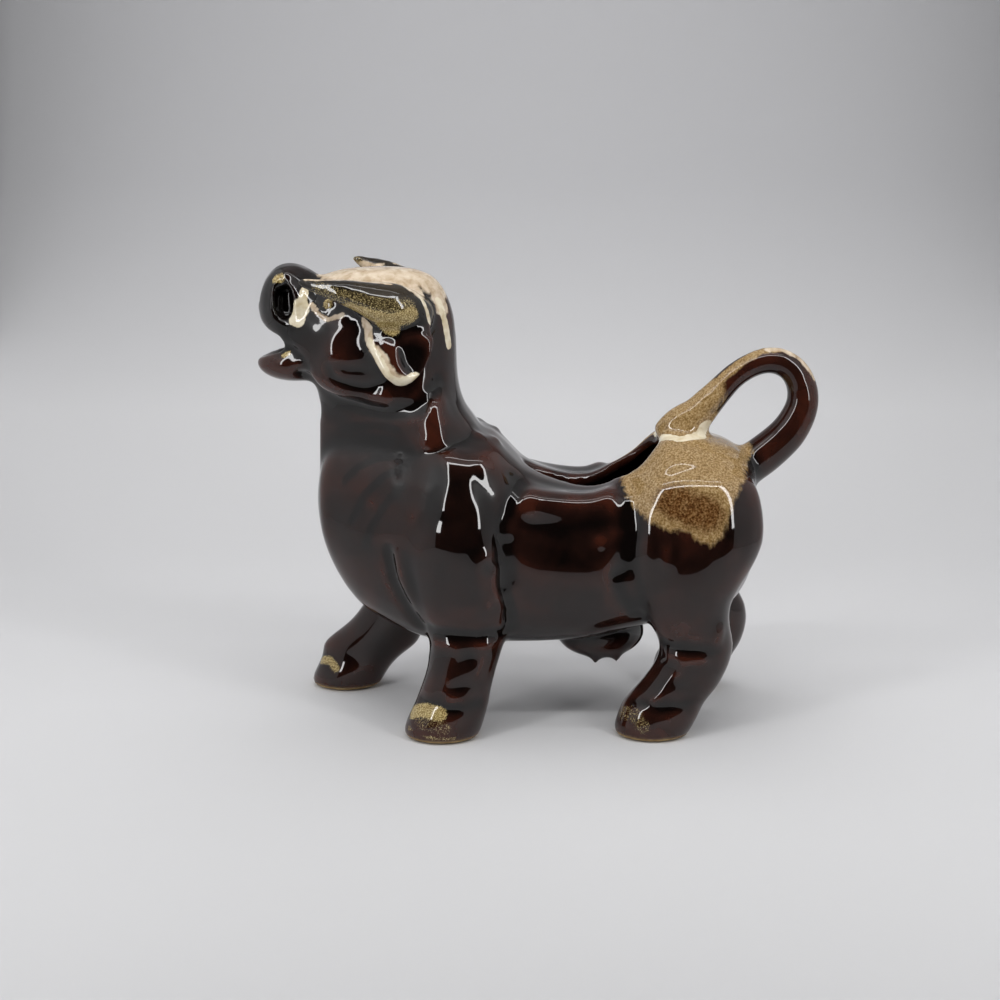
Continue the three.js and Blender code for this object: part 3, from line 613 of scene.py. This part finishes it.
def paint_layers(clay):
    """Strength of each paint layer at each point of the clay."""
    points = points_of(clay.data)
    tree = tree_of(clay.data)
    layers = {name: np.zeros(len(points)) for name in LAYERS}
    fore = both_sides(FORE_PAINT, stride(FORE_STRIDE))
    hind = both_sides(HIND_PAINT, stride(HIND_STRIDE))
    for (layer, path, radius, strength), side, shift in [*both_sides(PAINT), *fore, *hind]:
        places, _ = placed(path, tree, side, shift)
        picked = near_path(points, places, radius * PAINT_FADE)
        share = distance_to(points[picked], places) / radius
        value = strength * np.clip(PAINT_FADE - share, 0, 1)
        layers[layer][picked] = np.maximum(layers[layer][picked], value)
    normals = normals_of(clay.data)
    outward = np.clip(1 + normals[:, 1] * np.sign(points[:, 1]) * INWARD_FADE, 0, 1)
    patch = inside(points[:, [0, 2]], np.array(RUMP_PATCH), PATCH_FADE) * outward
    layers["tan"] = np.maximum(layers["tan"], patch)
    layers["bare"] = np.clip((SOLE - points[:, 2]) / SOLE_FADE, 0, 1)
    smooth = relax(points, edges_of(clay.data), EDGE_ROUNDS)
    bulge = np.einsum("ij,ij->i", points - smooth, normals)
    layers["thin"] = soft_step(bulge, EDGE_BULGE) * (1 - POOLED_AND_FOLD_SHADE * layers.pop("deep"))
    return layers


def inside(places, outline, soft):
    """One inside an outline, nought outside, with a soft edge."""
    within = np.zeros(len(places), dtype=bool)
    reach = np.full(len(places), np.inf)
    for start, end in zip(outline, np.roll(outline, -1, axis=0)):
        run = end - start
        away = places - start
        along = np.clip(away @ run / (run @ run), 0, 1)
        reach = np.minimum(reach, np.linalg.norm(away - along[:, None] * run, axis=1))
        crosses = (start[1] > places[:, 1]) != (end[1] > places[:, 1])
        with np.errstate(divide="ignore", invalid="ignore"):
            edge = start[0] + (places[:, 1] - start[1]) * run[0] / run[1]
        within ^= crosses & (places[:, 0] < edge)
    return soft_step(np.where(within, reach, -reach), soft)


def clay_skin(clay):
    """What a cut piece takes over from the whole clay: search trees, normals and paint."""
    points = points_of(clay.data)
    places = KDTree(len(points))
    for index, point in enumerate(points):
        places.insert(point, index)
    places.balance()
    normals = relax(normals_of(clay.data), edges_of(clay.data), NORMAL_ROUNDS)
    normals /= np.linalg.norm(normals, axis=1)[:, None]
    return {
        "places": places,
        "faces": tree_of(clay.data),
        "normals": normals,
        "layers": paint_layers(clay),
    }


def dress(piece):
    """Gives a cut piece the clay's own normals and paint, so that its seams don't show."""
    mesh = piece.data
    points = points_of(mesh)
    found = [SKIN["places"].find(point) for point in points]
    nearest = np.array([index for _, index, _ in found])
    moved = np.array([distance for _, _, distance in found]) > SAME_PLACE
    for name, values in SKIN["layers"].items():
        attribute = mesh.attributes.new(name, "FLOAT", "POINT")
        attribute.data.foreach_set("value", values[nearest].astype(np.float32))
    corners = np.empty(len(mesh.loops), dtype=np.int32)
    mesh.loops.foreach_get("vertex_index", corners)
    starts = np.empty(len(mesh.polygons), dtype=np.int32)
    mesh.polygons.foreach_get("loop_start", starts)
    normals = SKIN["normals"][nearest][corners]
    for index in np.nonzero(np.maximum.reduceat(moved[corners], starts))[0]:
        face = mesh.polygons[int(index)]
        centre = Vector(points[list(face.vertices)].mean(axis=0))
        if SKIN["faces"].find_nearest(centre)[3] > CUT_FACE:
            normals[face.loop_start : face.loop_start + face.loop_total] = face.normal
    mesh.polygons.foreach_set("use_smooth", [True] * len(mesh.polygons))
    mesh.normals_split_custom_set(normals)


def cut_piece(node, seat, material):
    """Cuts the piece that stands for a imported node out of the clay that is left."""
    clay = bpy.data.objects[CLAY]
    cutter = grown_copy(node, seat)
    grain = bpy.context.scene.creamer_cuts.grain
    apply_modifier(cutter, "REMESH", mode="VOXEL", voxel_size=grain)
    piece = copy_of(clay, node + "_glazed")
    apply_modifier(piece, "BOOLEAN", operation="INTERSECT", solver="MANIFOLD", object=cutter)
    apply_modifier(clay, "BOOLEAN", operation="DIFFERENCE", solver="MANIFOLD", object=cutter)
    remove(cutter)
    finish_piece(piece, node, material)


def without_crumbs(piece):
    """The largest shell of a piece, once the loose crumbs that the cuts leave are deleted."""
    name = piece.name
    select_only(piece)
    bpy.ops.mesh.separate(type="LOOSE")
    shells = sorted(bpy.context.selected_objects, key=lambda shell: len(shell.data.vertices))
    largest = shells.pop()
    for crumb in shells:
        remove(crumb)
    largest.name = name
    return largest


def finish_piece(cut, node, material):
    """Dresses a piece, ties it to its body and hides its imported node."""
    piece = without_crumbs(cut)
    dress(piece)
    piece.data.materials.clear()
    piece.data.materials.append(material)
    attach(piece, "root")
    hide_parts(node)


# Materials


def add_node(tree, kind, settings=None, links=None, stops=()):
    """Adds a node: settings are its options and socket values, links its sources, stops a ramp's colours."""
    node = tree.nodes.new(kind)
    for key, value in (settings or {}).items():
        if isinstance(key, str) and hasattr(node, key):
            setattr(node, key, value)
        else:
            node.inputs[key].default_value = value
    for key, source in (links or {}).items():
        tree.links.new(source, node.inputs[key])
    if stops:
        elements = node.color_ramp.elements
        while len(elements) > 1:
            elements.remove(elements[-1])
        for index, (place, shade) in enumerate(stops):
            element = elements.new(place) if index else elements[0]
            element.position = place
            element.color = shade
    return node


def new_material(name):
    """A material without nodes, and its node tree."""
    material = bpy.data.materials.new(name)
    material.use_nodes = True
    material.node_tree.nodes.clear()
    return material, material.node_tree


def cover(tree, paint, noise, low, high):
    """How far a painted glaze covers what is under it, with its edge broken up by a pattern."""
    if noise is None:
        return paint
    share = {"operation": "MULTIPLY_ADD", 1: EDGE_SHARE}
    broken = add_node(tree, "ShaderNodeMath", share, {0: noise, 2: paint}).outputs[0]
    reach = {"interpolation_type": "SMOOTHSTEP", "From Min": low, "From Max": high}
    return add_node(tree, "ShaderNodeMapRange", reach, {"Value": broken}).outputs["Result"]


def glaze(name, dark):
    """The jug's finish: thick glossy dark glaze, redder where it has run thin on an edge, with brushed tan,
    amber, beige, cream and gold glaze run over it, and dull bare clay on the soles. It also carries painted
    shade, black and matt in the nostrils and darker along the neck's folds, and a painted gold highlight in
    the corner of the mouth."""
    if name in bpy.data.materials:
        return bpy.data.materials[name]
    colours = bpy.context.scene.creamer_glaze
    shades = {key: [(at, getattr(colours, tone)) for at, tone in row] for key, row in SHADES.items()}
    material, tree = new_material(name)
    place = add_node(tree, "ShaderNodeTexCoord").outputs["Object"]
    stretch = {"Scale": (1.0, 1.0, 1 / STREAK_LENGTH)}
    hanging = add_node(tree, "ShaderNodeMapping", stretch, {"Vector": place}).outputs["Vector"]
    noise = {None: None}
    for pattern, (size, detail, distortion) in PATTERNS.items():
        settings = {"Scale": 1 / size, "Detail": detail, "Distortion": distortion}
        source = {"Vector": hanging if pattern == "streak" else place}
        noise[pattern] = add_node(tree, "ShaderNodeTexNoise", settings, source).outputs["Fac"]
    paint = {}
    for layer in SKIN["layers"]:
        paint[layer] = add_node(tree, "ShaderNodeAttribute", {"attribute_name": layer}).outputs["Fac"]
    multiply = {"operation": "MULTIPLY"}
    thinness = add_node(tree, "ShaderNodeMath", multiply, {0: noise["cloud"], 1: paint["thin"]}).outputs[0]
    below = add_node(tree, "ShaderNodeValToRGB", {}, {"Fac": thinness}, shades[dark]).outputs["Color"]
    for layer, pattern, edge, low, high in COATS:
        above = add_node(tree, "ShaderNodeValToRGB", {}, {"Fac": noise[pattern]}, shades[layer])
        covered = cover(tree, paint[layer], noise[edge], low, high)
        links = {MIX_FACTOR: covered, MIX_BELOW: below, MIX_ABOVE: above.outputs["Color"]}
        below = add_node(tree, "ShaderNodeMix", {"data_type": "RGBA"}, links).outputs[MIX_RESULT]
    # matt where the soles are bare and where the nostril shade is painted
    dull = add_node(tree, "ShaderNodeMath", {"operation": "MAXIMUM"}, {0: paint["bare"], 1: paint["pit"]})
    rest = {"operation": "SUBTRACT", 0: 1.0, "use_clamp": True}
    gloss = add_node(tree, "ShaderNodeMath", rest, {1: dull.outputs[0]})
    waves = {"Strength": RIPPLE_STRENGTH, "Distance": RIPPLE_HEIGHT}
    ripple = add_node(tree, "ShaderNodeBump", waves, {"Height": noise["ripple"]})
    links = {"Base Color": below, "Coat Weight": gloss.outputs[0], "Coat Normal": ripple.outputs["Normal"]}
    shader = add_node(tree, "ShaderNodeBsdfPrincipled", GLASSY, links)
    add_node(tree, "ShaderNodeOutputMaterial", links={"Surface": shader.outputs["BSDF"]})
    return material


def nylon(name, tone, glow):
    """White nylon cloth of the light tent, lit through from outside: a soft even tone in the glaze."""
    material, tree = new_material(name)
    light = {"Base Color": tone, "Emission Color": tone, "Emission Strength": glow}
    shader = add_node(tree, "ShaderNodeBsdfPrincipled", {**MATT, **light})
    add_node(tree, "ShaderNodeOutputMaterial", links={"Surface": shader.outputs["BSDF"]})
    return material


def paper_with_painted_shade(tent):
    """Matt backdrop paper with painted shade, as in the photograph: it darkens towards its front edge and up
    its back.
    """
    material, tree = new_material("matt_backdrop_paper")
    place = add_node(tree, "ShaderNodeTexCoord").outputs["Object"]
    depth = add_node(tree, "ShaderNodeSeparateXYZ", links={"Vector": place}).outputs["Y"]
    ends = {"From Min": -tent.front, "From Max": tent.back}
    along = add_node(tree, "ShaderNodeMapRange", ends, {"Value": depth}).outputs["Result"]
    span = tent.front + tent.back
    stops = [((y + tent.front) / span, linear(code)) for y, code in PAPER_PAINTED_SHADE]
    tone = add_node(tree, "ShaderNodeValToRGB", {}, {"Fac": along}, stops).outputs["Color"]
    shader = add_node(tree, "ShaderNodeBsdfPrincipled", MATT, {"Base Color": tone})
    add_node(tree, "ShaderNodeOutputMaterial", links={"Surface": shader.outputs["BSDF"]})
    return material


# Pieces


class CREAMER_OT_clay(bpy.types.Operator):
    """Join all pieces into one closed skin, smooth the joints and model the muscles and folds"""

    bl_idname = "creamer.clay"
    bl_label = "Shape clay"

    def execute(self, context):
        settings = context.scene.creamer_clay
        copies = [grown_copy(node, settings.bridge) for node in sorted(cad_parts)]
        select_only(*copies)
        bpy.ops.object.join()
        clay = bpy.context.object
        clay.name = CLAY
        apply_modifier(clay, "REMESH", mode="VOXEL", voxel_size=settings.grain)
        edges = edges_of(clay.data)
        set_points(clay.data, relax(points_of(clay.data), edges, settings.soften))
        model(clay, both_sides(BROAD))
        model(clay, both_sides(MEDIUM))
        fore = both_sides(FORE_FINE, stride(FORE_STRIDE))
        hind = both_sides(HIND_FINE, stride(HIND_STRIDE))
        model(clay, [*both_sides(FINE), *fore, *hind])
        points = relax(points_of(clay.data), edges, settings.polish)
        points -= normals_of(clay.data) * settings.bridge / MM
        points[:, 2] = np.maximum(points[:, 2], 0)
        set_points(clay.data, points)
        SKIN.update(clay_skin(clay))
        return {"FINISHED"}


class CutPieces:
    """What the operators that cut pieces out of the clay share: their nodes, reach and finish."""

    nodes = ()
    seat = "limb_seat"
    finish = ("brown_drip_glaze", "brown")
    slot = "brown_glaze"

    def execute(self, context):
        reach = getattr(context.scene.creamer_cuts, self.seat)
        for node in self.nodes:
            cut_piece(node, reach, glaze(*self.finish))
        return {"FINISHED"}


class CREAMER_OT_ears(CutPieces, bpy.types.Operator):
    """Cut both hanging ears out of the clay"""

    bl_idname = "creamer.ears"
    bl_label = "Ears"
    nodes = ("left_ear", "right_ear")
    seat = "small_seat"
    finish = ("cream_drip_glaze", "brown")
    slot = "cream_glaze"


class CREAMER_OT_horns(CutPieces, bpy.types.Operator):
    """Cut both horns out of the clay"""

    bl_idname = "creamer.horns"
    bl_label = "Horns"
    nodes = ("left_horn", "right_horn")
    seat = "small_seat"
    finish = ("gold_flecked_glaze", "smoke")
    slot = "gold_brushed_glaze"


class CREAMER_OT_tail(CutPieces, bpy.types.Operator):
    """Cut the looped tail, which is the handle, out of the clay"""

    bl_idname = "creamer.tail"
    bl_label = "Tail handle"
    nodes = ("tail_handle",)
    seat = "tail_seat"


class CREAMER_OT_udder(CutPieces, bpy.types.Operator):
    """Cut the udder with its teats out of the clay"""

    bl_idname = "creamer.udder"
    bl_label = "Udder"
    nodes = ("udder",)
    seat = "udder_seat"


class CREAMER_OT_legs(CutPieces, bpy.types.Operator):
    """Cut the four legs with shoulders, haunches and hooves out of the clay"""

    bl_idname = "creamer.legs"
    bl_label = "Legs"
    nodes = ("left_foreleg", "right_foreleg", "left_hindleg", "right_hindleg")


class CREAMER_OT_head(CutPieces, bpy.types.Operator):
    """Cut the head with its open mouth out of the clay"""

    bl_idname = "creamer.head"
    bl_label = "Head"
    nodes = ("head_shell",)


class CREAMER_OT_body(bpy.types.Operator):
    """Keep the clay that is left as the body"""

    bl_idname = "creamer.body"
    bl_label = "Body"

    def execute(self, context):
        body = bpy.data.objects[CLAY]
        body.name = "body_shell_glazed"
        finish_piece(body, "body_shell", glaze(*CutPieces.finish))
        return {"FINISHED"}


# Stage


def lamp(name, size, place, aim, watts):
    """A rectangular lamp of a width and a length, turned to the point that it lights."""
    data = bpy.data.lights.new(name, "AREA")
    data.shape = "RECTANGLE"
    data.size, data.size_y = size
    data.energy = watts
    light = bpy.data.objects.new(name, data)
    bpy.context.scene.collection.objects.link(light)
    light.location = place
    light.rotation_euler = (Vector(aim) - Vector(place)).to_track_quat("-Z", "Y").to_euler()
    return light


def sheet(name, profile, ends, axis, material):
    """A cloth of the light tent: a profile drawn in the other two axes and run along one axis."""
    rows = [[[*point[:axis], end, *point[axis:]] for point in profile] for end in ends]
    count = len(profile)
    faces = [(i, i + 1, count + i + 1, count + i) for i in range(count - 1)]
    mesh = bpy.data.meshes.new(name)
    mesh.from_pydata([point for row in rows for point in row], [], faces)
    mesh.polygons.foreach_set("use_smooth", [True] * len(mesh.polygons))
    mesh.materials.append(material)
    thing = bpy.data.objects.new(name, mesh)
    bpy.context.scene.collection.objects.link(thing)
    return thing


def raise_tent(tent):
    """Floor with a sweep up to the back, two side cloths and the top, open at the front.

    The cloths light the jug and show in its glaze, but don't stand in the way of a view from the side.
    """
    # the floor and the back carry painted shade, graded along the paper
    paper = paper_with_painted_shade(tent)
    cloth = nylon("white_nylon_cloth", tent.cloth, 0.0)
    lit_cloth = nylon("lit_nylon_cloth", tent.cloth, tent.glow)
    sides = (-tent.half_width, tent.half_width)
    turns = [math.radians(90 * step / SWEEP_STEPS) for step in range(SWEEP_STEPS + 1)]
    middle = tent.back - tent.bend
    sweep = [(middle + tent.bend * math.sin(turn), tent.bend * (1 - math.cos(turn))) for turn in turns]
    edges = (-PAPER_HALF_WIDTH, PAPER_HALF_WIDTH)
    sheet("floor_and_back", [(-tent.front, 0), *sweep, (tent.back, tent.height)], edges, 0, paper)
    top = [(-tent.front, tent.height), (tent.back, tent.height)]
    cloths = [sheet("top_cloth", top, edges, 0, cloth)]
    for name, side, stuff in zip(("left_cloth", "right_cloth"), sides, (lit_cloth, cloth)):
        wall = [(side, 0), (side, tent.height)]
        cloths.append(sheet(name, wall, (-tent.front, SIDE_CLOTH_END), 1, stuff))
    for thing in cloths:
        thing.visible_camera = False


def hang_lamps(tent):
    """Strips round the open front, seen as bright lines in the glaze, and a soft panel overhead."""
    inset = tent.strip * STRIP_INSET
    y = -tent.front + LAMP_GAP
    across = tent.half_width - inset
    for name, x in (("left_strip", -across), ("right_strip", across)):
        lamp(name, (tent.strip, SIDE_STRIP), (x, y, SIDE_STRIP_HEIGHT), STRIP_AIM, tent.side_power)
    over = (0, y, tent.height - inset)
    lamp("top_strip", (TOP_STRIP, tent.strip), over, STRIP_AIM, tent.top_power)
    inner = (0, -INNER_STRIP_FRONT, tent.height - LAMP_GAP)
    narrow = (TOP_STRIP, tent.strip * INNER_STRIP)
    lamp("inner_strip", narrow, inner, (0, -INNER_STRIP_FRONT, 0), tent.inner_power)
    roof = (0, PANEL_BACK, tent.height - LAMP_GAP)
    panel = lamp("top_panel", (PANEL, PANEL), roof, (0, PANEL_BACK, 0), tent.panel_power)
    panel.visible_glossy = False


def darken_room(scene):
    """The dim room behind the camera, seen as the dark rectangle in the glaze."""
    world = bpy.data.worlds.new("dim_room")
    scene.world = world
    world.use_nodes = True
    world.node_tree.nodes["Background"].inputs["Color"].default_value = linear(ROOM)


def set_camera(scene):
    """The photograph's view: from the animal's left and a little above."""
    data = bpy.data.cameras.new("camera")
    data.lens = LENS
    data.sensor_width = SENSOR
    data.clip_start = NEAREST
    camera = bpy.data.objects.new("camera", data)
    scene.collection.objects.link(camera)
    camera.location = CAMERA
    camera.rotation_euler = (CAMERA_AIM - CAMERA).to_track_quat("-Z", "Y").to_euler()
    scene.camera = camera


class CREAMER_OT_stage(bpy.types.Operator):
    """Set up the light tent, its lamps and the camera"""

    bl_idname = "creamer.stage"
    bl_label = "Stage"

    def execute(self, context):
        scene = context.scene
        tent = scene.creamer_tent
        raise_tent(tent)
        hang_lamps(tent)
        darken_room(scene)
        set_camera(scene)
        scene.view_settings.view_transform = "Standard"
        return {"FINISHED"}


class CREAMER_PT_sidebar(bpy.types.Panel):
    """The steps in order, with their settings"""

    bl_idname = "CREAMER_PT_sidebar"
    bl_label = "Bull creamer"
    bl_space_type = "VIEW_3D"
    bl_region_type = "UI"
    bl_category = "Creamer"

    def draw(self, context):
        for step in STEPS:
            self.layout.operator(step.bl_idname)
        for name in GROUPS:
            group = getattr(context.scene, name)
            box = self.layout.box()
            for key in group.__annotations__:
                box.prop(group, key)


STEPS = (
    CREAMER_OT_clay,
    CREAMER_OT_ears,
    CREAMER_OT_horns,
    CREAMER_OT_tail,
    CREAMER_OT_udder,
    CREAMER_OT_legs,
    CREAMER_OT_head,
    CREAMER_OT_body,
    CREAMER_OT_stage,
)
# Settings kept on the scene, by name.
GROUPS = {
    "creamer_clay": CreamerClay,
    "creamer_cuts": CreamerCuts,
    "creamer_glaze": CreamerGlaze,
    "creamer_tent": CreamerTent,
}
CLASSES = (*GROUPS.values(), *STEPS, CREAMER_PT_sidebar)


def register():
    """Adds the operators, the panel and the settings to Blender."""
    for cls in CLASSES:
        bpy.utils.register_class(cls)
    for name, group in GROUPS.items():
        setattr(bpy.types.Scene, name, bpy.props.PointerProperty(type=group))


def unregister():
    """Takes them out again."""
    for name in GROUPS:
        delattr(bpy.types.Scene, name)
    for cls in reversed(CLASSES):
        bpy.utils.unregister_class(cls)


def main():
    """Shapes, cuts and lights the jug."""
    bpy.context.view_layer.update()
    register()
    bpy.ops.creamer.clay()
    bpy.ops.creamer.ears()
    bpy.ops.creamer.horns()
    bpy.ops.creamer.tail()
    bpy.ops.creamer.udder()
    bpy.ops.creamer.legs()
    bpy.ops.creamer.head()
    bpy.ops.creamer.body()
    bpy.ops.creamer.stage()


if __name__ == "__main__":
    main()
